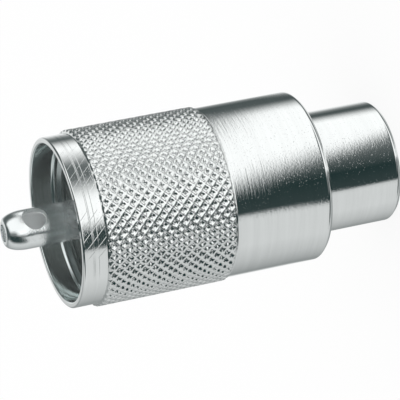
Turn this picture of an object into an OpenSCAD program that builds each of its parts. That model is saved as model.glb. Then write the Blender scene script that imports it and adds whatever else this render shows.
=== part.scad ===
// Cable plug with a loose coupling sleeve. It stands on its tail face, with its axis
// along Z and its centre pin up. The origin is the centre of the tail face.

/* [Coupling thread] */
// Major diameter of the coupling thread
thread_d = 15.875; // [14:0.125:18]
// Pitch of the coupling thread
thread_pitch = 1.058; // [0.8:0.001:1.25]
// Length of the thread inside the sleeve
thread_len = 9.8; // [7:0.1:11]
// Radial gap between the crests of the thread and the roots of its mate
thread_clear = 0.055; // [0.03:0.005:0.1]

/* [Coupling sleeve] */
// Wall of the smooth rear section outside the relief bore
smooth_wall = 0.76; // [0.6:0.05:1]
// Bevel on the rear edge of the smooth section
smooth_bevel = 0.4; // [0.2:0.05:0.5]
// Length of the bare lip in front of the knurl
lip_len = 2.5; // [1.5:0.1:3]
// Wall of the lip
lip_wall = 0.62; // [0.5:0.02:0.8]
// Bevel on the outer and inner edges of the lip
lip_bevel = 0.1; // [0.05:0.01:0.2]
// Diameter of the plain mouth in front of the thread
mouth_d = 16.1; // [15.9:0.05:18.4]
// Depth of the plain mouth
mouth_len = 2.2; // [1:0.1:3]
// Thickness of the inward flange at the rear
flange_len = 3; // [2:0.1:4]
// Distance that the sleeve can slide forward until its flange meets the shoulder rib
sleeve_play = 2.5; // [1:0.1:3.5]
// Radial gap between the relief bore and the threaded collar
relief_clear = 0.12; // [0.1:0.01:0.2]

/* [Knurl] */
// Length of the knurled grip
knurl_len = 13.5; // [10:0.5:15]
// Height of the knurl's crests above the smooth section
knurl_rise = 0.24; // [0.1:0.02:0.3]
// Depth of the knurl's pits below its crests
knurl_depth = 0.3; // [0.2:0.02:0.34]
// Pits around the knurl
knurl_count = 51; // [30:1:60]
// Distance along the sleeve from pit to pit
knurl_pitch = 1.09; // [1:0.01:2]

/* [Rear tube] */
// Diameter of the cable bore
cable_bore_d = 11; // [10:0.1:12]
// Depth of the cable bore
cable_bore_len = 13.2; // [10:0.1:14]
// Wall of the rear tube
tube_wall = 0.75; // [0.6:0.05:1]
// Length of the tube that shows behind the sleeve
tube_show = 8.65; // [7:0.05:12]
// Bevel on the tail edge of the tube
tail_bevel = 0.4; // [0.2:0.05:0.5]
// Radial gap between the tube and the flange of the sleeve
running_clear = 0.07; // [0.02:0.01:0.1]

/* [Body] */
// Height of the shoulder rib above the tube
rib_height = 0.95; // [0.5:0.05:1.2]
// Length of the shoulder rib
rib_len = 0.8; // [0.5:0.1:1.5]
// Length of the solder neck
neck_len = 4.1; // [3.4:0.1:5]
// Wall of the solder neck
neck_wall = 1.5; // [0.8:0.1:1.8]
// Diameter of the solder holes
solder_hole_d = 3; // [2:0.1:3.2]
// Number of solder holes
solder_holes = 4; // [2:1:4]
// Length of the threaded collar
collar_len = 4; // [3:0.1:5]
// Bevel on both edges of the threaded collar
collar_bevel = 0.3; // [0.1:0.05:0.4]
// Gap along the axis between the collar and the rear end of the sleeve's thread
collar_gap = 0.1; // [0.05:0.05:0.3]
// Length of the contact ring in front of the collar
ring_len = 4.25; // [4:0.05:5]
// Radial gap between the contact ring and the sleeve's thread
ring_clear = 0.22; // [0.1:0.02:0.4]
// Wall of the contact ring
ring_wall = 1.3; // [1:0.1:1.6]
// Locating teeth on the contact ring
teeth = 12; // [8:1:16]
// Width of the notches between the teeth
notch_w = 1.2; // [0.6:0.1:1.6]
// Depth of the notches between the teeth
notch_depth = 0.5; // [0.2:0.05:0.6]

/* [Insulator] */
// Length of the insulator
insulator_len = 6.65; // [5.5:0.05:7.5]
// Depth of the insulator's face below the front of the contact ring
insulator_recess = 0.6; // [0.55:0.05:1]
// Width of the seat behind the insulator
insulator_seat = 1.5; // [1:0.1:1.8]
// Bevel on the insulator's outer edges
insulator_bevel = 0.25; // [0.1:0.05:0.4]
// Radial gap of the seated fits at the insulator
seat_clear = 0.02; // [0.01:0.01:0.05]

/* [Centre pin] */
// Diameter of the pin
pin_d = 4; // [3.6:0.05:4.4]
// Reach of the pin in front of the contact ring
pin_reach = 13.3; // [11:0.1:15]
// Length of the pin's tail behind the insulator
pin_tail = 2; // [1:0.1:2.5]
// Height of the grip inside the insulator above the pin
grip_height = 0.4; // [0.3:0.05:0.6]
// Height of the pin's flange above the pin
pin_flange_height = 0.9; // [0.5:0.05:1.2]
// Length of the pin's flange
pin_flange_len = 1.5; // [1:0.1:2]
// Diameter of the conductor bore
conductor_d = 2.7; // [2.3:0.05:3]
// Length of the rounded nose
nose_len = 2.2; // [2:0.1:3]
// Diameter of the flat tip of the nose
tip_d = 2.3; // [2:0.05:2.6]
// Diameter of the hole in the tip
tip_hole_d = 1.75; // [1.2:0.05:1.9]
// Thickness of the metal around the tip hole
tip_wall = 1.7; // [1:0.1:2]
// Diameter of the hole in the side of the pin
side_hole_d = 2.5; // [1.5:0.1:2.6]
// Distance of the side hole's centre from the tip
side_hole_from_tip = 3; // [3:0.1:5]

/* [Hidden] */
$fn = 96;
nose_steps = 10;
overcut = 1;
mouth_bevel = 0.3;
// Depth of a 60 degree thread as a share of its pitch
thread_share = 0.5413;
// The knurl's ring starts this far below its pits and reaches this far into the wall
knurl_floor = 0.08;
knurl_root = 0.2;

thread_depth = thread_share * thread_pitch;
thread_minor_r = thread_d / 2 - thread_depth;
thread_bore_r = thread_minor_r + thread_clear;
collar_r = thread_d / 2 - thread_clear;

tube_r = cable_bore_d / 2 + tube_wall;
rib_r = tube_r + rib_height;
ring_r = thread_bore_r - ring_clear;
insulator_bore_r = ring_r - ring_wall;
braid_bore_r = insulator_bore_r - insulator_seat;
neck_r = braid_bore_r + neck_wall;

sleeve_z = tube_show;
tube_len = sleeve_z + flange_len + sleeve_play;
rib_top = tube_len + rib_len;
collar_z = rib_top + neck_len;
collar_top = collar_z + collar_len;
ring_top = collar_top + ring_len;
insulator_top = ring_top - insulator_recess;
insulator_z = insulator_top - insulator_len;

relief_r = collar_r + relief_clear;
smooth_r = relief_r + smooth_wall;
knurl_r = smooth_r + knurl_rise;
pit_r = knurl_r - knurl_depth;
core_r = pit_r - knurl_floor;
knurl_inner_r = core_r - knurl_root;
mouth_r = mouth_d / 2;
lip_r = mouth_r + lip_wall;
flange_r = tube_r + running_clear;
thread_z = collar_top + collar_gap;
thread_top = thread_z + thread_len;
sleeve_top = thread_top + mouth_len;
knurl_top = sleeve_top - lip_len;
knurl_z = knurl_top - knurl_len;

pin_r = pin_d / 2;
grip_r = pin_r + grip_height;
pin_flange_r = pin_r + pin_flange_height;
pin_z = insulator_z - pin_tail;
pin_flange_top = insulator_z + pin_flange_len;
pin_top = ring_top + pin_reach;
nose_z = pin_top - nose_len;
tip_hole_z = pin_top - tip_wall;

// Radius of the knurl at column i of row j: crests and pits alternate, the end rows are plain
function knurl_point_r(i, j, rows) =
    j == 0 || j == rows ? pit_r : (i + j) % 2 == 0 ? knurl_r : pit_r;

// Two triangles of the knurl's cell, split along the ridge that crosses it
function knurl_cell(i, j, a, b, c, d) =
    (i + j) % 2 == 0 ? [[a, c, b], [a, d, c]] : [[a, d, b], [b, d, c]];

module turned(outline) {
    rotate_extrude() polygon(outline);
}

// Ring of crossing ridges with a pit in each diamond
module knurl() {
    columns = 2 * knurl_count;
    rows = round(2 * knurl_len / knurl_pitch);
    angle = 360 / columns;
    inner = columns * (rows + 1);
    points = [
        for (j = [0:rows], i = [0:columns - 1])
            let (r = knurl_point_r(i, j, rows))
            [r * cos(i * angle), r * sin(i * angle), knurl_z + knurl_len * j / rows],
        for (z = [knurl_z, knurl_top], i = [0:columns - 1])
            [knurl_inner_r * cos(i * angle), knurl_inner_r * sin(i * angle), z]
    ];
    outer_faces = [
        for (j = [0:rows - 1], i = [0:columns - 1])
            let (n = (i + 1) % columns, low = j * columns, high = low + columns)
            each knurl_cell(i, j, low + i, low + n, high + n, high + i)
    ];
    last = rows * columns;
    wall_faces = [
        for (i = [0:columns - 1])
            let (n = (i + 1) % columns)
            each [
                [inner + i, inner + n, inner + columns + i],
                [inner + n, inner + columns + n, inner + columns + i],
                [i, n, inner + i],
                [n, inner + n, inner + i],
                [last + i, inner + columns + i, last + n],
                [last + n, inner + columns + i, inner + columns + n]
            ]
    ];
    polyhedron(points, concat(outer_faces, wall_faces));
}

module coupling_sleeve() {
    color("silver") union() {
        turned([
            [flange_r + lip_bevel, sleeve_z],
            [smooth_r - smooth_bevel, sleeve_z],
            [smooth_r, sleeve_z + smooth_bevel],
            [smooth_r, knurl_z - lip_bevel],
            [smooth_r - lip_bevel, knurl_z],
            [core_r, knurl_z],
            [core_r, knurl_top],
            [lip_r, knurl_top],
            [lip_r, sleeve_top - lip_bevel],
            [lip_r - lip_bevel, sleeve_top],
            [mouth_r + lip_bevel, sleeve_top],
            [mouth_r, sleeve_top - lip_bevel],
            [mouth_r, thread_top],
            [thread_bore_r, thread_top - (mouth_r - thread_bore_r)],
            [thread_bore_r, thread_z],
            [relief_r, thread_z],
            [relief_r, sleeve_z + flange_len],
            [flange_r, sleeve_z + flange_len],
            [flange_r, sleeve_z + lip_bevel]
        ]);
        knurl();
    }
}

module solder_hole() {
    translate([0, 0, rib_top + neck_len / 2])
        rotate([0, 90, 0])
            cylinder(d = solder_hole_d, h = neck_r + overcut);
}

module notch() {
    translate([braid_bore_r, -notch_w / 2, ring_top - notch_depth])
        cube([ring_r, notch_w, notch_depth + overcut]);
}

module plug_body() {
    color("silver") difference() {
        turned([
            [cable_bore_d / 2 + mouth_bevel, 0],
            [tube_r - tail_bevel, 0],
            [tube_r, tail_bevel],
            [tube_r, tube_len],
            [rib_r, tube_len],
            [rib_r, rib_top],
            [neck_r, rib_top],
            [neck_r, collar_z],
            [collar_r - collar_bevel, collar_z],
            [collar_r, collar_z + collar_bevel],
            [collar_r, collar_top - collar_bevel],
            [collar_r - collar_bevel, collar_top],
            [ring_r, collar_top],
            [ring_r, ring_top],
            [insulator_bore_r, ring_top],
            [insulator_bore_r, insulator_z],
            [braid_bore_r, insulator_z],
            [braid_bore_r, cable_bore_len],
            [cable_bore_d / 2, cable_bore_len],
            [cable_bore_d / 2, mouth_bevel]
        ]);
        for (i = [0:solder_holes - 1]) rotate([0, 0, i * 360 / solder_holes]) solder_hole();
        for (i = [0:teeth - 1]) rotate([0, 0, (i + 0.5) * 360 / teeth]) notch();
    }
}

module insulator() {
    outer_r = insulator_bore_r - seat_clear;
    color("ivory") turned([
        [pin_flange_r + seat_clear, insulator_z],
        [outer_r - insulator_bevel, insulator_z],
        [outer_r, insulator_z + insulator_bevel],
        [outer_r, insulator_top - insulator_bevel],
        [outer_r - insulator_bevel, insulator_top],
        [grip_r + seat_clear, insulator_top],
        [grip_r + seat_clear, pin_flange_top],
        [pin_flange_r + seat_clear, pin_flange_top]
    ]);
}

// The nose is a quarter of an ellipse between the pin's side and its flat tip
function nose_point(a) =
    [tip_d / 2 + (pin_r - tip_d / 2) * cos(a), nose_z + nose_len * sin(a)];

module centre_pin() {
    color("gainsboro") difference() {
        turned([
            [conductor_d / 2, pin_z],
            [grip_r, pin_z],
            [grip_r, insulator_z],
            [pin_flange_r, insulator_z],
            [pin_flange_r, pin_flange_top],
            [grip_r, pin_flange_top],
            [grip_r, insulator_top],
            [pin_r, insulator_top],
            for (i = [0:nose_steps]) nose_point(i * 90 / nose_steps),
            [tip_hole_d / 2, pin_top],
            [tip_hole_d / 2, tip_hole_z],
            [conductor_d / 2, tip_hole_z]
        ]);
        translate([0, 0, pin_top - side_hole_from_tip])
            rotate([0, 90, 0])
                cylinder(d = side_hole_d, h = pin_r + overcut);
    }
}

coupling_sleeve();
plug_body();
insulator();
centre_pin();
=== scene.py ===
"""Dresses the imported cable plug: turned, knurled, tapped and drilled metal around a plastic bush."""

import math

import bmesh
import bpy
from mathutils import Matrix, Vector


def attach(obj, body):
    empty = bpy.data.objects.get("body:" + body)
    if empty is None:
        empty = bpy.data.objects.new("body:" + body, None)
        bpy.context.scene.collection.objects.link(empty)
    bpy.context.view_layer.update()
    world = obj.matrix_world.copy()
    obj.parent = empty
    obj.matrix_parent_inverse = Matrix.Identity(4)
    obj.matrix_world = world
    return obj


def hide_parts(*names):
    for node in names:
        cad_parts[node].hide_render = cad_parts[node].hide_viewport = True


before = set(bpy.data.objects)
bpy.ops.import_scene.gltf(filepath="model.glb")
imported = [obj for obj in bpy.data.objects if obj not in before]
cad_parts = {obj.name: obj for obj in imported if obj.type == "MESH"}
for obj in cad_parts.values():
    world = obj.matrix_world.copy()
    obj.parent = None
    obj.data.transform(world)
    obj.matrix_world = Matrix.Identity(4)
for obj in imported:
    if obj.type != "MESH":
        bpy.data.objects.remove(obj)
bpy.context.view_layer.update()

MM = 0.001
TAU = 2 * math.pi

# Camera, in the frame of the part, in millimetres and degrees
LENS = 234
CAMERA_PLACE = (214.881, -129.729, 102.059)
CAMERA_RIGHT = (0.1622, -0.3232, -0.9323)
CAMERA_UP = (0.5570, 0.8099, -0.1839)

# Coupling sleeve, in millimetres
SLEEVE_REAR = 8.65
SLEEVE_FRONT = 35.15
SMOOTH_R = 8.7625
LIP_R = 8.67
MOUTH_R = 8.05
BORE_R = 7.42
RELIEF_R = 8.0025
FLANGE_R = 6.32
FLANGE_LEN = 3.0
REAR_BEVEL = 0.4
SLEEVE_COLUMNS = 408

# Knurl
KNURL_REAR = 19.15
KNURL_FRONT = 32.65
RIDGE_R = 8.995
PIT_DEPTH = 0.28
PLAIN_R = 8.7025
CELLS_ROUND = 51
CELLS_ALONG = 12.5
STEPS_PER_CELL = 8

# Threads
PITCH = 1.058
THREAD_REAR = 23.15
THREAD_LEN = 9.8
THREAD_DEPTH = 0.5

# Plug body
TUBE_R = 6.25
CABLE_R = 5.5
CABLE_LEN = 13.2
TUBE_LEN = 14.15
RIB_R = 7.2
RIB_TOP = 14.95
NECK_R = 5.9
COLLAR_REAR = 19.05
COLLAR_FRONT = 23.05
COLLAR_R = 7.8825
RING_R = 7.2
RING_FRONT = 27.3
SEAT_R = 5.9
SEAT_REAR = 20.05
BRAID_R = 4.4
BODY_COLUMNS = 240
TEETH = 12
NOTCH = (1.2, 0.5)
HOLES = 4
HOLE_R = 1.5

# Insulator and centre pin
BUSH_R = 5.88
BUSH_FRONT = 26.7
PIN_R = 2.0
GRIP_R = 2.4
PIN_FLANGE_R = 2.9
PIN_REAR = 18.05
PIN_FLANGE_FRONT = 21.55
NOSE_REAR = 38.4
PIN_FRONT = 40.6
TIP_R = 1.15
TIP_HOLE_R = 0.875
TIP_HOLE_REAR = 38.9
CONDUCTOR_R = 1.35
SIDE_HOLE_Z = 37.6
SIDE_HOLE_R = 1.25
PIN_COLUMNS = 128


class Value:
    """A socket in a node tree. Its operators add Math nodes."""

    def __init__(self, tree, made, out=0):
        self.tree, self.made = tree, made
        self.socket = made.outputs[out] if made.outputs else None

    def out(self, name):
        return Value(self.tree, self.made, name)

    def __add__(self, other): return self.tree.math("ADD", self, other)
    def __radd__(self, other): return self.tree.math("ADD", other, self)
    def __sub__(self, other): return self.tree.math("SUBTRACT", self, other)
    def __rsub__(self, other): return self.tree.math("SUBTRACT", other, self)
    def __mul__(self, other): return self.tree.math("MULTIPLY", self, other)
    def __rmul__(self, other): return self.tree.math("MULTIPLY", other, self)
    def __truediv__(self, other): return self.tree.math("DIVIDE", self, other)
    def __rtruediv__(self, other): return self.tree.math("DIVIDE", other, self)
    def __mod__(self, other): return self.tree.math("FLOORED_MODULO", self, other)
    def __pow__(self, other): return self.tree.math("POWER", self, other)
    def __gt__(self, other): return self.tree.math("GREATER_THAN", self, other)
    def __lt__(self, other): return self.tree.math("LESS_THAN", self, other)
    def __abs__(self): return self.tree.math("ABSOLUTE", self)


class Tree:
    """Adds nodes to a node tree."""

    def __init__(self, node_tree):
        self.node_tree = node_tree

    def add(self, kind, settings=None, sockets=None, out=0):
        made = self.node_tree.nodes.new(kind)
        for name, value in (settings or {}).items():
            if name == "stops":
                self.set_stops(made.color_ramp, value)
            else:
                setattr(made, name, value)
        for name, value in (sockets or {}).items():
            self.feed(made.inputs[name], value)
        return Value(self, made, out)

    def set_stops(self, ramp, stops):
        while len(ramp.elements) < len(stops):
            ramp.elements.new(1.0)
        for element, (place, shade) in zip(ramp.elements, stops):
            element.position = place
            element.color = (shade, shade, shade, 1)

    def feed(self, socket, value):
        for one in value if isinstance(value, list) else [value]:
            if isinstance(one, Value):
                self.node_tree.links.new(one.socket, socket)
            else:
                socket.default_value = one

    def math(self, operation, *terms):
        return self.add("ShaderNodeMath", {"operation": operation}, dict(enumerate(terms)))

    def vector(self, x, y, z):
        return self.add("ShaderNodeCombineXYZ", None, {0: x, 1: y, 2: z})

    def smooth(self, value, low, high):
        """0 below low, 1 above high and a smooth step between them."""
        return self.add("ShaderNodeMapRange", {"interpolation_type": "SMOOTHSTEP"},
                        {"Value": value, "From Min": low, "From Max": high})

    def within(self, value, low, high, soft):
        """1 between low and high, with soft edges."""
        return self.smooth(value, low - soft, low + soft) * (1 - self.smooth(value, high - soft, high + soft))


# Meshes


def rounded(outline, steps=3):
    """An outline of (radius, height, fillet) with each corner rounded by its fillet.

    A point on either side of a fillet keeps the long faces beside it flat.
    """
    points = []
    for k, (r, z, fillet) in enumerate(outline):
        corner = Vector((r, z))
        if not fillet:
            points.append(corner)
            continue
        back = Vector(outline[k - 1][:2]) - corner
        ahead = Vector(outline[(k + 1) % len(outline)][:2]) - corner
        before, after = back.normalized(), ahead.normalized()
        start, end = corner + before * fillet, corner + after * fillet
        if back.length > 4 * fillet:
            points.append(corner + before * fillet * 1.7)
        for step in range(steps + 1):
            t = step / steps
            points.append((1 - t) ** 2 * start + 2 * t * (1 - t) * corner + t * t * end)
        if ahead.length > 4 * fillet:
            points.append(corner + after * fillet * 1.7)
    return [(p.x, p.y) for p in points]


def turned(name, outlines, columns, closed=True):
    """A mesh turned on the lathe from outlines of (radius, height) in millimetres."""
    points, faces = [], []
    for outline in outlines:
        first = len(points)
        points += [(r * MM * math.cos(TAU * i / columns), r * MM * math.sin(TAU * i / columns), z * MM)
                   for r, z in outline for i in range(columns)]
        rows = len(outline)
        for j in range(rows if closed else rows - 1):
            low, high = first + j * columns, first + (j + 1) % rows * columns
            for i in range(columns):
                n = (i + 1) % columns
                faces.append((low + i, low + n, high + n, high + i))
    mesh = bpy.data.meshes.new(name)
    mesh.from_pydata(points, [], faces)
    piece = bpy.data.objects.new(name, mesh)
    bpy.context.scene.collection.objects.link(piece)
    return piece


def settle(piece, sharp_angle, merge=0.002):
    """Turns the modifiers' result into a plain closed mesh with outward faces and crisp edges."""
    bpy.context.view_layer.update()
    shape = piece.evaluated_get(bpy.context.evaluated_depsgraph_get())
    mesh = bpy.data.meshes.new_from_object(shape)
    piece.modifiers.clear()
    piece.data = mesh
    work = bmesh.new()
    work.from_mesh(mesh)
    bmesh.ops.remove_doubles(work, verts=work.verts, dist=merge * MM)
    bmesh.ops.dissolve_degenerate(work, edges=work.edges, dist=merge / 2 * MM)
    bmesh.ops.recalc_face_normals(work, faces=work.faces)
    work.to_mesh(mesh)
    work.free()
    mesh.shade_smooth()
    mesh.set_sharp_from_angle(angle=math.radians(sharp_angle))
    return piece


def new_group(name, inputs, makes_modifier=False):
    """An empty geometry tree with named inputs. Returns it, its Tree and its group input."""
    group = bpy.data.node_groups.new(name, "GeometryNodeTree")
    face = group.interface
    if makes_modifier:
        face.new_socket(name="Geometry", in_out="INPUT", socket_type="NodeSocketGeometry")
    for label, kind in inputs.items():
        face.new_socket(name=label, in_out="INPUT", socket_type="NodeSocket" + kind)
    face.new_socket(name="Geometry", in_out="OUTPUT", socket_type="NodeSocketGeometry")
    tree = Tree(group)
    return group, tree, tree.add("NodeGroupInput")


def apply_group(piece, group, values):
    """Adds the tree as a modifier with its inputs set by their identifiers."""
    modifier = piece.modifiers.new(group.name, "NODES")
    modifier.node_group = group
    for item in group.interface.items_tree:
        if item.in_out == "INPUT" and item.name in values:
            modifier[item.identifier] = values[item.name]


def grid_wall(tree, columns, rows):
    """A grid for a wall, with the column and the row of each of its points."""
    grid = tree.add("GeometryNodeMeshGrid", None, {"Vertices X": columns + 1, "Vertices Y": rows + 1})
    index = tree.add("GeometryNodeInputIndex")
    column = tree.math("FLOOR", (index + 0.5) / (rows + 1))
    return grid, column, index - column * (rows + 1)


def place_wall(tree, grid, turn, radius, height):
    """Moves the grid's points to a share of a turn, a radius and a height."""
    place = tree.vector(radius * tree.math("COSINE", turn * TAU), radius * tree.math("SINE", turn * TAU), height)
    return tree.add("GeometryNodeSetPosition", None, {"Geometry": grid, "Position": place})


def thread_wall_group():
    """A helical thread's wall. A positive depth cuts outward from the radius."""
    group, tree, given = new_group("thread_wall", {
        "Columns": "Int", "Rows": "Int", "Start": "Float", "Length": "Float", "Pitch": "Float",
        "Radius": "Float", "Depth": "Float", "Crest": "Float", "Root": "Float", "Run-out": "Float",
        "Open front": "Float"})
    g = given.out
    grid, column, row = grid_wall(tree, g("Columns"), g("Rows"))
    turn = column / g("Columns")
    step = row % 4
    deep = step > 1.5
    side = (row % 2) * 2 - 1
    flat = deep * g("Root") + (1 - deep) * g("Crest")
    turns = tree.math("FLOOR", (row + 0.5) / 4) - 1 + deep * 0.5 + side * flat * 0.5 + turn
    height = tree.math("MINIMUM", tree.math("MAXIMUM", turns * g("Pitch"), 0.0), g("Length"))
    front = tree.smooth(height, g("Length") - g("Run-out"), g("Length"))
    groove = deep * tree.smooth(height, 0.0, g("Run-out")) * (1 - front * (1 - g("Open front")))
    share = groove + (1 - groove) * front * g("Open front")
    wall = place_wall(tree, grid, turn, g("Radius") + g("Depth") * share, height + g("Start"))
    tree.add("NodeGroupOutput", None, {0: wall})
    return group


def knurl_wall_group():
    """A net of crossing ridges with a pit in each diamond. The end rows are plain."""
    group, tree, given = new_group("knurl_wall", {
        "Cells round": "Int", "Cells along": "Float", "Steps": "Int", "Start": "Float", "Length": "Float",
        "Ridge radius": "Float", "Plain radius": "Float", "Pit depth": "Float", "Ridge width": "Float",
        "Unevenness": "Float"})
    g = given.out
    columns, rows = g("Cells round") * g("Steps"), g("Cells along") * g("Steps")
    grid, column, row = grid_wall(tree, columns, rows)
    across, along = column / g("Steps"), row / g("Steps")
    turn = column / columns
    falls = [tree.add("ShaderNodeMapRange", None, {
        "Value": abs((slant + 0.5) % 1 - 0.5), "From Min": g("Ridge width"), "From Max": 0.5})
        for slant in (across + along, across - along)]
    place = [tree.math("COSINE", turn * TAU) * 8.2, tree.math("SINE", turn * TAU) * 8.2, along]
    patch = tree.add("ShaderNodeTexNoise", None, {"Vector": tree.vector(*place), "Scale": 1.4, "Detail": 3.0})
    grain = tree.add("ShaderNodeTexNoise", None, {"Vector": tree.vector(*place), "Scale": 5.0, "Detail": 1.0})
    depth = g("Pit depth") * (1 + (patch - 0.5) * g("Unevenness"))
    dent = g("Pit depth") * tree.math("MAXIMUM", grain - 0.5, 0.0) * 0.5
    radius = g("Ridge radius") - tree.math("MINIMUM", *falls) ** 2 * depth - dent
    inside = (row > 0.5) * (row < rows - 0.5)
    radius = g("Plain radius") * (1 - inside) + radius * inside
    wall = place_wall(tree, grid, turn, radius, g("Start") + g("Length") * row / rows)
    face = tree.add("GeometryNodeInputIndex")
    face_column = tree.math("FLOOR", (face + 0.5) / rows)
    half = g("Steps") / 2
    parity = (tree.math("FLOOR", (face_column + 0.5) / half)
              + tree.math("FLOOR", (face - face_column * rows + 0.5) / half)) % 2
    capture = tree.add("GeometryNodeStoreNamedAttribute", {"data_type": "BOOLEAN", "domain": "FACE"},
                       {"Geometry": wall, "Name": "leans_left", "Value": parity > 0.5})
    leans = tree.add("GeometryNodeInputNamedAttribute", {"data_type": "BOOLEAN"}, {"Name": "leans_left"})
    wall = tree.add("GeometryNodeTriangulate", {"quad_method": "FIXED_ALTERNATE"}, {"Mesh": capture, "Selection": leans})
    wall = tree.add("GeometryNodeTriangulate", {"quad_method": "FIXED"}, {"Mesh": wall})
    wall = tree.add("GeometryNodeRemoveAttribute", None, {"Geometry": wall, "Name": "leans_left"})
    tree.add("NodeGroupOutput", None, {0: wall})
    return group


def finish_group(tree, shape, material):
    """Realizes the shape and gives it its material at the end of a tree."""
    shape = tree.add("GeometryNodeRealizeInstances", None, {"Geometry": shape})
    shape = tree.add("GeometryNodeSetMaterial", None, {"Geometry": shape, "Material": material})
    tree.add("NodeGroupOutput", None, {0: shape})


def sleeve_group(thread, knurl):
    """Knurls and taps the sleeve's turned blank."""
    names = {"Cells round": "Int", "Cells along": "Float", "Steps": "Int", "Knurl start": "Float",
             "Knurl length": "Float", "Ridge radius": "Float", "Plain radius": "Float", "Pit depth": "Float",
             "Ridge width": "Float", "Unevenness": "Float", "Columns": "Int", "Thread rows": "Int",
             "Thread start": "Float", "Thread length": "Float", "Pitch": "Float", "Bore radius": "Float",
             "Thread depth": "Float", "Material": "Material"}
    group, tree, given = new_group("sleeve_knurling_and_tapping", names, makes_modifier=True)
    g = given.out
    knurled = tree.add("GeometryNodeGroup", {"node_tree": knurl}, {
        "Cells round": g("Cells round"), "Cells along": g("Cells along"), "Steps": g("Steps"),
        "Start": g("Knurl start"), "Length": g("Knurl length"), "Ridge radius": g("Ridge radius"),
        "Plain radius": g("Plain radius"), "Pit depth": g("Pit depth"), "Ridge width": g("Ridge width"),
        "Unevenness": g("Unevenness")})
    tapped = tree.add("GeometryNodeGroup", {"node_tree": thread}, {
        "Columns": g("Columns"), "Rows": g("Thread rows"), "Start": g("Thread start"),
        "Length": g("Thread length"), "Pitch": g("Pitch"), "Radius": g("Bore radius"),
        "Depth": g("Thread depth"), "Crest": 0.22, "Root": 0.14, "Run-out": 0.45 * MM, "Open front": 1.0})
    joined = tree.add("GeometryNodeJoinGeometry", None, {0: [given, knurled, tapped]})
    closed = tree.add("GeometryNodeMergeByDistance", None, {"Geometry": joined, "Distance": 0.002 * MM})
    finish_group(tree, closed, g("Material"))
    return group


def body_group(thread):
    """Cuts the collar's thread, mills the notches and drills the solder holes."""
    names = {"Columns": "Int", "Thread rows": "Int", "Collar start": "Float", "Collar length": "Float",
             "Pitch": "Float", "Collar radius": "Float", "Thread depth": "Float", "Jacket rows": "Int",
             "Jacket start": "Float", "Jacket length": "Float", "Jacket radius": "Float",
             "Jacket depth": "Float", "Teeth": "Int", "Notch width": "Float",
             "Notch depth": "Float", "Ring radius": "Float", "Ring front": "Float", "Holes": "Int",
             "Hole radius": "Float", "Hole height": "Float", "Neck radius": "Float", "Material": "Material"}
    group, tree, given = new_group("body_threading_milling_and_drilling", names, makes_modifier=True)
    g = given.out
    common = {"Columns": g("Columns"), "Pitch": g("Pitch"), "Crest": 0.2, "Root": 0.2}
    collar = tree.add("GeometryNodeGroup", {"node_tree": thread}, {
        **common, "Rows": g("Thread rows"), "Start": g("Collar start"), "Length": g("Collar length"),
        "Radius": g("Collar radius"), "Depth": g("Thread depth") * -1, "Run-out": 0.4 * MM})
    jacket = tree.add("GeometryNodeGroup", {"node_tree": thread}, {
        **common, "Rows": g("Jacket rows"), "Start": g("Jacket start"), "Length": g("Jacket length"),
        "Radius": g("Jacket radius"), "Depth": g("Jacket depth"), "Run-out": 0.8 * MM})
    jacket = tree.add("GeometryNodeFlipFaces", None, {"Mesh": jacket})
    joined = tree.add("GeometryNodeJoinGeometry", None, {0: [given, collar, jacket]})
    blank = tree.add("GeometryNodeMergeByDistance", None, {"Geometry": joined, "Distance": 0.002 * MM})
    mill = tree.add("GeometryNodeMeshCube", None, {
        "Size": tree.vector(g("Ring radius"), g("Notch width"), g("Notch depth") * 2)})
    mill = tree.add("GeometryNodeTransform", None, {
        "Geometry": mill, "Translation": tree.vector(g("Ring radius") * 1.1, 0.0, g("Ring front"))})
    drill = tree.add("GeometryNodeMeshCylinder", None, {
        "Vertices": 48, "Radius": g("Hole radius"), "Depth": g("Neck radius")})
    drill = tree.add("GeometryNodeTransform", None, {
        "Geometry": drill, "Rotation": (0, TAU / 4, 0),
        "Translation": tree.vector(g("Neck radius") * 0.8, 0.0, g("Hole height"))})
    notches = ring_of(tree, mill, g("Teeth"), 0.5)
    holes = ring_of(tree, drill, g("Holes"), 0.0)
    cut = tree.add("GeometryNodeMeshBoolean", {"operation": "DIFFERENCE", "solver": "EXACT"},
                   {"Mesh 1": blank, "Mesh 2": [notches, holes]})
    finish_group(tree, cut, g("Material"))
    return group


def ring_of(tree, cutter, count, first):
    """Cutters all round the axis. first is the first one's place as a share of the step."""
    points = tree.add("GeometryNodeMeshLine", None, {"Count": count, "Offset": (0, 0, 0)})
    index = tree.add("GeometryNodeInputIndex")
    turn = (index + first) / count * TAU
    ring = tree.add("GeometryNodeInstanceOnPoints", None, {
        "Points": points, "Instance": cutter, "Rotation": tree.vector(0.0, 0.0, turn)})
    return tree.add("GeometryNodeRealizeInstances", None, {"Geometry": ring})


# Materials


def place_on_metal(tree):
    """Height, direction round the axis and radius, in millimetres, from Object coordinates."""
    place = tree.add("ShaderNodeTexCoord", None, None, "Object")
    split = tree.add("ShaderNodeSeparateXYZ", None, {0: place})
    x, y, z = (split.out(axis) * 1000 for axis in "XYZ")
    radius = tree.math("SQRT", x * x + y * y)
    return place, x / radius, y / radius, z, radius


def turned_rings(tree, across, up, height, per_mm, length, detail=3.0):
    """Noise drawn out round the axis, as a tool leaves it. length is the streaks' length in radians."""
    place = tree.vector(across / length, up / length, height * per_mm)
    return tree.add("ShaderNodeTexNoise", None, {"Vector": place, "Scale": 1.0, "Detail": detail, "Roughness": 0.6})


def new_material(name):
    material = bpy.data.materials.new(name)
    material.use_nodes = True
    material.node_tree.nodes.clear()
    return material, Tree(material.node_tree)


def metal_output(tree, colour, roughness, normal, metallic):
    shader = tree.add("ShaderNodeBsdfPrincipled", None, {
        "Base Color": colour, "Metallic": metallic, "Roughness": roughness, "Normal": normal})
    tree.add("ShaderNodeOutputMaterial", None, {"Surface": shader})


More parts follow.
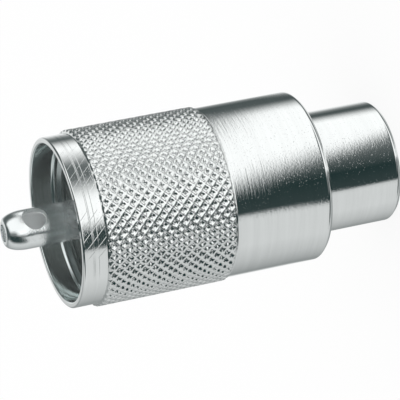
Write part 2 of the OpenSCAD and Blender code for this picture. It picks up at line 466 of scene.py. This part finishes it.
def tool_marks(tree, across, up, z):
    """Thin slanting lines where the knurling tool slipped over the lip, in step with the knurl's ridges."""
    turn = tree.math("ARCTAN2", up, across) / TAU
    pitch = (KNURL_FRONT - KNURL_REAR) / CELLS_ALONG
    slant = turn * CELLS_ROUND + (z - KNURL_REAR) / pitch
    away = abs((slant + 0.5) % 1 - 0.5)
    slips = tree.within(turn, -0.165, -0.085, 0.015) + tree.within(turn, -0.04, 0.05, 0.03) * 0.15
    return (1 - tree.smooth(away, 0.0, 0.045)) * (0.1 + slips)


def score_lines(tree, z, places, width):
    """Sharp rings scored round the metal at the given heights."""
    lines = [1 - tree.smooth(abs(z - place), 0.0, width) for place in places]
    total = lines[0]
    for line in lines[1:]:
        total = total + line
    return total


def nickel(name, colour=(0.82, 0.83, 0.825, 1)):
    """Bright nickel on turned brass: tool rings, scratches, specks and the knurl tool's marks on the lip. Painted
    shade darkens the tapped thread, and a painted cool cast lies inside the bore.
    """
    material, tree = new_material(name)
    place, across, up, z, radius = place_on_metal(tree)
    dents = tree.add("ShaderNodeTexNoise", None, {"Vector": place, "Scale": 7000.0, "Detail": 0.0})
    dents = tree.smooth(dents, 0.72, 0.80)
    knurled = tree.within(z, KNURL_REAR, KNURL_FRONT, 0.05) * tree.smooth(radius, 8.5, 8.6)
    lip = tree.smooth(z, KNURL_FRONT, KNURL_FRONT + 0.05) * tree.smooth(radius, 8.5, 8.6)
    fine = turned_rings(tree, across, up, z, 14.0, 0.35)
    streaks = turned_rings(tree, across, up, z, 5.0, 0.5, 2.0)
    coarse = turned_rings(tree, across, up, z, 1.8, 1.5, 2.0)
    specks = tree.add("ShaderNodeTexNoise", None, {"Vector": place, "Scale": 5200.0, "Detail": 2.0})
    inside = tree.smooth(radius, 7.3, 7.4) * (1 - tree.smooth(radius, 8.1, 8.2))
    threaded = inside * (1 - tree.smooth(z, THREAD_REAR + THREAD_LEN - 0.3, THREAD_REAR + THREAD_LEN))
    brushed = 0.2 + inside * 1.6 + tree.within(z, 14.5, KNURL_REAR, 2.5) * tree.smooth(radius, 8.5, 8.6) * 0.6
    height = (fine * 0.3 + streaks * 0.35 + coarse * 0.25) * brushed + specks * (0.25 + lip * 0.15) - dents * (1 - knurled) * 0.16
    marks = lip * (tool_marks(tree, across, up, z) * 0.8 + score_lines(tree, z, (33.55, 34.0, 34.12), 0.04) * 0.5)
    bump = tree.add("ShaderNodeBump", None, {"Strength": 0.35, "Distance": 0.02 * MM, "Height": height - marks})
    crests = knurled * tree.smooth(radius, 8.84, 8.96)
    roughness = 0.02 + fine * 0.03 + specks * 0.03 + knurled * 0.04 + crests * 0.1 + threaded * 0.14
    # The coarse turning rings give the metal its own uneven tone. Painted shade: the colour is darkened by a third
    # in the tapped thread, where the mouth shades it. The red is lowered a little inside the bore, a painted cool
    # cast against the warm light that the ivory bush bounces there.
    shade = (tree.smooth(coarse, 0.2, 0.8) * 0.06 + 0.95) * (1 - threaded * 0.34)
    tint = tree.add("ShaderNodeMix", {"data_type": "RGBA", "blend_type": "MULTIPLY"}, {
        0: 1.0, 6: colour,
        7: tree.add("ShaderNodeCombineColor", None, {0: shade * (1 - inside * 0.05), 1: shade, 2: shade})}, 2)
    metal_output(tree, tint, roughness, bump, 1 - inside * 0.08)
    return material


def pin_silver(name):
    """Satin silvered contact metal, a little blotched, with painted light in its bore and a painted cool cast where
    it sinks into the mouth.
    """
    material, tree = new_material(name)
    place, across, up, z, radius = place_on_metal(tree)
    rings = turned_rings(tree, across, up, z, 9.0, 0.5)
    blotches = tree.add("ShaderNodeTexNoise", None, {"Vector": place, "Scale": 2600.0, "Detail": 4.0})
    bore = (1 - tree.smooth(radius, CONDUCTOR_R + 0.1, CONDUCTOR_R + 0.3)) * (1 - tree.smooth(z, 39.8, 40.1))
    nose = tree.smooth(z, NOSE_REAR - 0.2, NOSE_REAR + 0.8)
    grain = tree.add("ShaderNodeTexNoise", None, {"Vector": place, "Scale": 7000.0, "Detail": 3.0})
    height = rings * (0.15 + bore) + blotches * 0.2 + grain * 1.6
    bump = tree.add("ShaderNodeBump", None, {"Strength": 0.35, "Distance": 0.02 * MM, "Height": height})
    sunk = 1 - tree.smooth(z, SLEEVE_FRONT - 4, SLEEVE_FRONT + 1.5)
    patches = tree.add("ShaderNodeTexNoise", None, {"Vector": place, "Scale": 700.0, "Detail": 2.0})
    # Painted light: the bore's colour is raised by a sixth so that its inside looks lit. The red is lowered a
    # little where the pin sinks into the mouth, a painted cool cast of the shade there.
    light_level = 1 + bore * 0.17
    dull = sunk * (0.25 + tree.smooth(patches, 0.25, 0.75) * 0.75) * (1 - bore)
    colour = tree.add("ShaderNodeCombineColor", None, {
        0: light_level * 0.82 * (1 - sunk * 0.05), 1: light_level * 0.84, 2: light_level * 0.84})
    roughness = 0.04 + blotches * 0.04 + bore * 0.5 + sunk * 0.16 + nose * 0.14
    metal_output(tree, colour, roughness, bump, 1 - bore - dull)
    return material


def bush_plastic(name, colour=(0.80, 0.80, 0.78, 1)):
    """Matt ivory plastic with faint turning rings on its face."""
    material, tree = new_material(name)
    place, across, up, z, radius = place_on_metal(tree)
    rings = tree.add("ShaderNodeTexNoise", {"noise_dimensions": "1D"}, {"W": radius * 7.0, "Detail": 3.0})
    grain = tree.add("ShaderNodeTexNoise", None, {"Vector": place, "Scale": 1800.0, "Detail": 4.0})
    bump = tree.add("ShaderNodeBump", None, {
        "Strength": 0.3, "Distance": 0.03 * MM, "Height": rings * 0.6 + grain * 0.4})
    shade = 0.94 + grain * 0.1
    tint = tree.add("ShaderNodeMix", {"data_type": "RGBA", "blend_type": "MULTIPLY"}, {
        0: 1.0, 6: colour, 7: tree.add("ShaderNodeCombineColor", None, {0: shade, 1: shade, 2: shade})}, 2)
    shader = tree.add("ShaderNodeBsdfPrincipled", None, {
        "Base Color": tint, "Roughness": 0.45 + grain * 0.2, "Normal": bump})
    tree.add("ShaderNodeOutputMaterial", None, {"Surface": shader})
    return material


# Pieces


def make_sleeve(material):
    thread, knurl = thread_wall_group(), knurl_wall_group()
    rear = rounded([
        (PLAIN_R, KNURL_REAR, 0), (SMOOTH_R - 0.1, KNURL_REAR, 0), (SMOOTH_R, KNURL_REAR - 0.12, 0.04),
        (SMOOTH_R, SLEEVE_REAR + REAR_BEVEL, 0.15), (SMOOTH_R - REAR_BEVEL, SLEEVE_REAR, 0.08),
        (FLANGE_R + 0.12, SLEEVE_REAR, 0.05), (FLANGE_R, SLEEVE_REAR + 0.12, 0.05),
        (FLANGE_R, SLEEVE_REAR + FLANGE_LEN, 0.05), (RELIEF_R, SLEEVE_REAR + FLANGE_LEN, 0.1),
        (RELIEF_R, THREAD_REAR, 0.05), (BORE_R, THREAD_REAR, 0)])
    root = BORE_R + THREAD_DEPTH
    thread_front = THREAD_REAR + THREAD_LEN - (MOUTH_R - root)
    front = rounded([
        (root, thread_front, 0), (MOUTH_R, THREAD_REAR + THREAD_LEN, 0.05),
        (MOUTH_R, SLEEVE_FRONT - 0.1, 0.04), (MOUTH_R + 0.1, SLEEVE_FRONT, 0.04),
        (LIP_R - 0.12, SLEEVE_FRONT, 0.05), (LIP_R, SLEEVE_FRONT - 0.12, 0.05),
        (LIP_R, KNURL_FRONT, 0), (PLAIN_R, KNURL_FRONT, 0)])
    piece = turned("sleeve_dressed", [rear, front], SLEEVE_COLUMNS, closed=False)
    thread_len = thread_front - THREAD_REAR
    apply_group(piece, sleeve_group(thread, knurl), {
        "Cells round": CELLS_ROUND, "Cells along": CELLS_ALONG, "Steps": STEPS_PER_CELL,
        "Knurl start": KNURL_REAR * MM, "Knurl length": (KNURL_FRONT - KNURL_REAR) * MM,
        "Ridge radius": RIDGE_R * MM, "Plain radius": PLAIN_R * MM, "Pit depth": PIT_DEPTH * MM,
        "Ridge width": 0.03, "Unevenness": 0.7, "Columns": SLEEVE_COLUMNS,
        "Thread rows": 4 * math.ceil(thread_len / PITCH + 2), "Thread start": THREAD_REAR * MM,
        "Thread length": thread_len * MM, "Pitch": PITCH * MM, "Bore radius": BORE_R * MM,
        "Thread depth": THREAD_DEPTH * MM, "Material": material})
    settle(piece, 55)
    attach(piece, "sleeve")
    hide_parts("coupling_sleeve")
    return thread


def make_body(material, thread):
    jacket_rear, jacket_front = 0.6, 9.6
    tube = rounded([
        (CABLE_R, jacket_rear, 0), (CABLE_R + 0.2, 0.0, 0.03), (TUBE_R - 0.35, 0.0, 0.05), (TUBE_R, 0.4, 0.12),
        (TUBE_R, TUBE_LEN, 0.1), (RIB_R, TUBE_LEN, 0.1), (RIB_R, RIB_TOP, 0.1), (NECK_R, RIB_TOP, 0.15),
        (NECK_R, COLLAR_REAR, 0.15), (COLLAR_R, COLLAR_REAR, 0)])
    ring = rounded([
        (COLLAR_R, COLLAR_FRONT, 0), (RING_R, COLLAR_FRONT, 0.1), (RING_R, RING_FRONT, 0.1),
        (SEAT_R, RING_FRONT, 0.08), (SEAT_R, SEAT_REAR, 0.05), (BRAID_R, SEAT_REAR, 0.08),
        (BRAID_R, CABLE_LEN, 0.08), (CABLE_R, CABLE_LEN, 0.15), (CABLE_R, jacket_front, 0)])
    piece = turned("body_dressed", [tube, ring], BODY_COLUMNS, closed=False)
    apply_group(piece, body_group(thread), {
        "Columns": BODY_COLUMNS, "Thread rows": 4 * math.ceil((COLLAR_FRONT - COLLAR_REAR) / PITCH + 2),
        "Collar start": COLLAR_REAR * MM, "Collar length": (COLLAR_FRONT - COLLAR_REAR) * MM,
        "Pitch": PITCH * MM, "Collar radius": COLLAR_R * MM, "Thread depth": 0.5 * MM,
        "Jacket rows": 4 * math.ceil((jacket_front - jacket_rear) / PITCH + 2),
        "Jacket start": jacket_rear * MM, "Jacket length": (jacket_front - jacket_rear) * MM,
        "Jacket radius": CABLE_R * MM, "Jacket depth": 0.25 * MM,
        "Teeth": TEETH, "Notch width": NOTCH[0] * MM, "Notch depth": NOTCH[1] * MM,
        "Ring radius": RING_R * MM, "Ring front": RING_FRONT * MM, "Holes": HOLES,
        "Hole radius": HOLE_R * MM, "Hole height": (RIB_TOP + COLLAR_REAR) / 2 * MM,
        "Neck radius": NECK_R * MM, "Material": material})
    settle(piece, 32, 0.00002)
    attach(piece, "plug")
    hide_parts("plug_body")


def make_bush(material):
    outline = rounded([
        (PIN_FLANGE_R + 0.02, SEAT_REAR, 0), (BUSH_R, SEAT_REAR, 0.25), (BUSH_R, BUSH_FRONT, 0.25),
        (GRIP_R + 0.02, BUSH_FRONT, 0.05), (GRIP_R + 0.02, PIN_FLANGE_FRONT, 0),
        (PIN_FLANGE_R + 0.02, PIN_FLANGE_FRONT, 0)])
    piece = turned("bush_dressed", [outline], PIN_COLUMNS)
    piece.data.materials.append(material)
    settle(piece, 32)
    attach(piece, "plug")
    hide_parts("insulator")


def make_pin(material):
    nose = [(TIP_R + (PIN_R - TIP_R) * math.cos(a), NOSE_REAR + (PIN_FRONT - NOSE_REAR) * math.sin(a), 0)
            for a in (math.radians(90) * k / 16 for k in range(17))]
    outline = rounded([
        (CONDUCTOR_R, PIN_REAR, 0.1), (GRIP_R, PIN_REAR, 0.1), (GRIP_R, SEAT_REAR, 0),
        (PIN_FLANGE_R, SEAT_REAR, 0.1), (PIN_FLANGE_R, PIN_FLANGE_FRONT, 0), (GRIP_R, PIN_FLANGE_FRONT, 0),
        (GRIP_R, BUSH_FRONT, 0.08), (PIN_R, BUSH_FRONT, 0.08),
        (PIN_R, SIDE_HOLE_Z - SIDE_HOLE_R - 0.4, 0), (PIN_R, SIDE_HOLE_Z - SIDE_HOLE_R - 0.2, 0), *nose,
        (TIP_HOLE_R, PIN_FRONT, 0.06), (TIP_HOLE_R, TIP_HOLE_REAR, 0), (CONDUCTOR_R, TIP_HOLE_REAR, 0)])
    piece = turned("pin_dressed", [outline], PIN_COLUMNS)
    piece.data.materials.append(material)
    bpy.ops.mesh.primitive_cylinder_add(
        vertices=64, radius=SIDE_HOLE_R * MM, depth=3 * MM, location=(1.9 * MM, 0, SIDE_HOLE_Z * MM),
        rotation=(0, TAU / 4, 0))
    drill = bpy.context.object
    cut = piece.modifiers.new("side_hole", "BOOLEAN")
    cut.operation, cut.solver, cut.object = "DIFFERENCE", "EXACT", drill
    edge = piece.modifiers.new("hole_edge", "BEVEL")
    edge.width, edge.segments, edge.limit_method, edge.angle_limit = 0.06 * MM, 2, "ANGLE", math.radians(50)
    settle(piece, 32)
    bpy.data.objects.remove(drill)
    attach(piece, "plug")
    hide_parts("centre_pin")


# Studio


def make_floor():
    """Plain white floor. The metal sees past it to the studio around."""
    size = 3.0
    mesh = bpy.data.meshes.new("floor")
    mesh.from_pydata([(-size, -size, 0), (size, -size, 0), (size, size, 0), (-size, size, 0)], [], [(0, 1, 2, 3)])
    floor = bpy.data.objects.new("floor", mesh)
    bpy.context.scene.collection.objects.link(floor)
    material, tree = new_material("floor_white")
    seen = tree.add("ShaderNodeLightPath")
    paper = tree.add("ShaderNodeBsdfDiffuse", None, {"Color": (0.97, 0.97, 0.97, 1)})
    glow = tree.add("ShaderNodeEmission", None, {"Color": (1, 1, 1, 1), "Strength": 1.0})
    mix = tree.add("ShaderNodeMixShader", None, {
        0: tree.math("MAXIMUM", seen.out("Is Camera Ray"), seen.out("Is Transmission Ray")) * 0.86,
        1: paper, 2: glow})
    tree.add("ShaderNodeOutputMaterial", None, {"Surface": mix})
    mesh.materials.append(material)
    floor.visible_glossy = False


def make_studio():
    """White for the camera. The metal sees soft boxes, grey walls and a black card round the plug."""
    world = bpy.data.worlds.new("studio")
    bpy.context.scene.world = world
    world.use_nodes = True
    world.node_tree.nodes.clear()
    tree = Tree(world.node_tree)
    way = tree.add("ShaderNodeSeparateXYZ", None, {0: tree.add("ShaderNodeTexCoord", None, None, "Generated")})
    degrees = 360 / TAU
    azimuth = tree.math("ARCTAN2", way.out("Y"), way.out("X")) * degrees
    elevation = tree.math("ARCSINE", way.out("Z")) * degrees
    belt = tree.within(elevation, -20.3, -17.0, 0.6)
    shift = 6 - belt * (6 + tree.smooth(azimuth, 90.0, 110.0) * 7)
    walls = tree.add("ShaderNodeValToRGB", {"stops": [
        (0.0, 0.36), (0.10, 0.62), (0.18, 0.76), (0.285, 0.76), (0.30, 0.70), (0.315, 0.06), (0.40, 0.04),
        (0.50, 0.14), (0.76, 0.12), (0.80, 0.10), (0.83, 0.24), (0.86, 0.60), (0.885, 0.92), (0.92, 0.85),
        (0.96, 0.32), (1.0, 0.36)]}, {0: (azimuth + 180 + shift) / 360})
    down = tree.math("MINIMUM", tree.math("MAXIMUM", -15.5 - elevation, 0.0), 8.0)
    left = down ** 1.69 * 2.3 - 44 - tree.smooth(elevation, -14.9, -14.3) * 18
    left = left - tree.smooth(down, 1.0, 3.0) * 3
    right = 92 - down * 1.6
    spread = 10 + tree.smooth(down, 0.0, 3.0) * 7
    box = tree.smooth(azimuth - left, 0 - spread, spread) * (1 - tree.smooth(azimuth - right, -15.0, 15.0))
    slant = azimuth - tree.math("MAXIMUM", -16.6 - elevation, 0.0) * 28
    soft = 18 + down * 5
    strip = tree.smooth(slant, 7 - soft, 7 + soft) * (1 - tree.smooth(slant, 57 - soft, 57 + soft)) * 0.97
    away = tree.smooth(abs(elevation + 19), 9.0, 22.0)
    steep = tree.smooth(abs(elevation + 8), 18.0, 30.0)
    above = tree.smooth(azimuth + 62 - steep * 26, -10.0, 10.0) * (1 - tree.smooth(azimuth, 46.0, 68.0))
    light = box * (1 - strip) * (1 - away) + above * away * 0.95
    edge = 18 - tree.smooth(0 - azimuth, 78.0, 96.0) * 8
    card = tree.within(azimuth, -116, -64, 10) * tree.smooth(abs(elevation + 18) - edge, -5.0, 5.0) * 0.95
    fill = tree.within(azimuth, -66, -34, 8) * tree.smooth(abs(elevation + 18), 8.0, 16.0) * 0.16
    high = tree.smooth(elevation, 52.0, 62.0)
    shade = (walls * (1 - light) * (1 - card) + light * 1.22 + fill) * (1 - high) + high * 0.08
    seen = tree.add("ShaderNodeLightPath").out("Is Glossy Ray")
    light_level = seen * shade + (1 - seen)
    colour = tree.add("ShaderNodeCombineColor", None, {0: light_level - seen * 0.02, 1: light_level, 2: light_level})
    sky = tree.add("ShaderNodeBackground", None, {"Color": colour})
    tree.add("ShaderNodeOutputWorld", None, {"Surface": sky})


def make_camera():
    camera = bpy.data.objects.new("camera", bpy.data.cameras.new("camera"))
    bpy.context.scene.collection.objects.link(camera)
    camera.data.lens = LENS
    camera.data.clip_start = 0.01
    right, up = Vector(CAMERA_RIGHT).normalized(), Vector(CAMERA_UP).normalized()
    back = right.cross(up).normalized()
    up = back.cross(right)
    camera.matrix_world = Matrix.Translation(Vector(CAMERA_PLACE) * MM) @ Matrix((right, up, back)).transposed().to_4x4()
    bpy.context.scene.camera = camera


make_camera()
make_studio()
make_floor()
nickel_finish = nickel("bright_nickel")
thread_tree = make_sleeve(nickel_finish)
make_body(nickel_finish, thread_tree)
make_bush(bush_plastic("ivory_bush"))
make_pin(pin_silver("silvered_pin"))

bpy.context.scene.view_settings.view_transform = "Standard"
